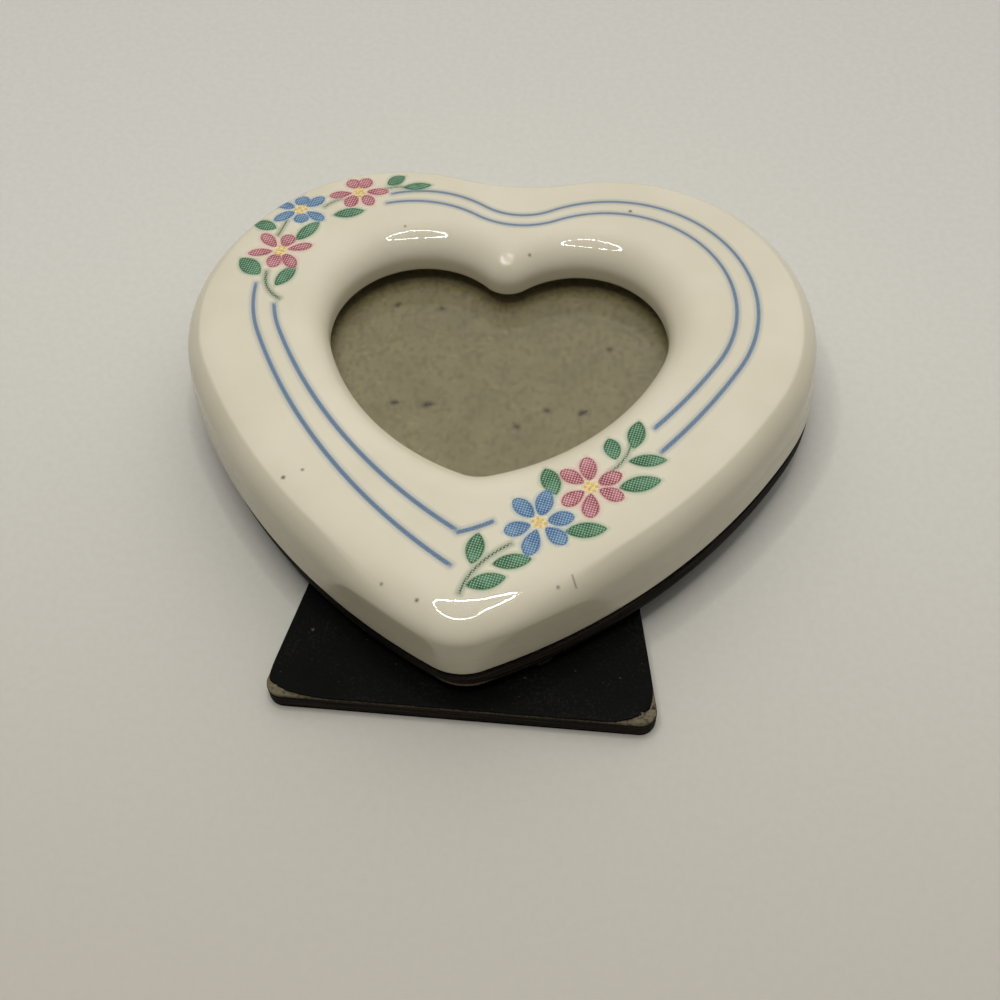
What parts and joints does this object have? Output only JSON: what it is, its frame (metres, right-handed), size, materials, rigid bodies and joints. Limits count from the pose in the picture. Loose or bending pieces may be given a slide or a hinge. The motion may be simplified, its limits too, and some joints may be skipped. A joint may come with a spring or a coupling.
{
  "type": "heart shaped photo frame",
  "caption": "Small glazed ceramic heart frame with a heart window, a lift-off papered back board and a hinged easel leg, lying face up on its folded leg.",
  "frame": {"origin": "on the folded leg's underside, below the middle of the line between the heart's two lobe centres", "axes": "+X across the heart to the viewer's right, +Y from the tip to the lobes, +Z out of the ceramic's face"},
  "size_m": [0.102, 0.0943, 0.0211],
  "materials": {
    "glaze": "glossy ivory glaze",
    "clear_sheet": "clear, polished",
    "grey_card": "matt grey-brown chipboard with flecks",
    "board": "dark stained laminated board",
    "black_paper": "black satin paper, worn at the edges",
    "hinge_metal": "nickel plated, dulled"
  },
  "bodies": {
    "leg": {"leg_board": "board", "leg_front_paper": "black_paper", "leg_rear_paper": "black_paper", "hinge_leg_leaf": "hinge_metal", "hinge_pin": "hinge_metal"},
    "back": {"back_board": "board", "back_lining": "black_paper", "hinge_back_leaf": "hinge_metal", "filler_card": "grey_card"},
    "front": {"ceramic_frame": "glaze", "window_sheet": "clear_sheet"}
  },
  "joints": [
    {"name": "leg_hinge", "type": "hinge", "parent": "leg", "child": "back", "pos_m": [0, 0.022, 0.00468], "axis": [-1, 0, 0], "range_deg": [0, 32]},
    {"name": "front_lift", "type": "slide", "parent": "back", "child": "front", "axis": [0, 0, 1], "range_m": [0, 0.03]}
  ]
}
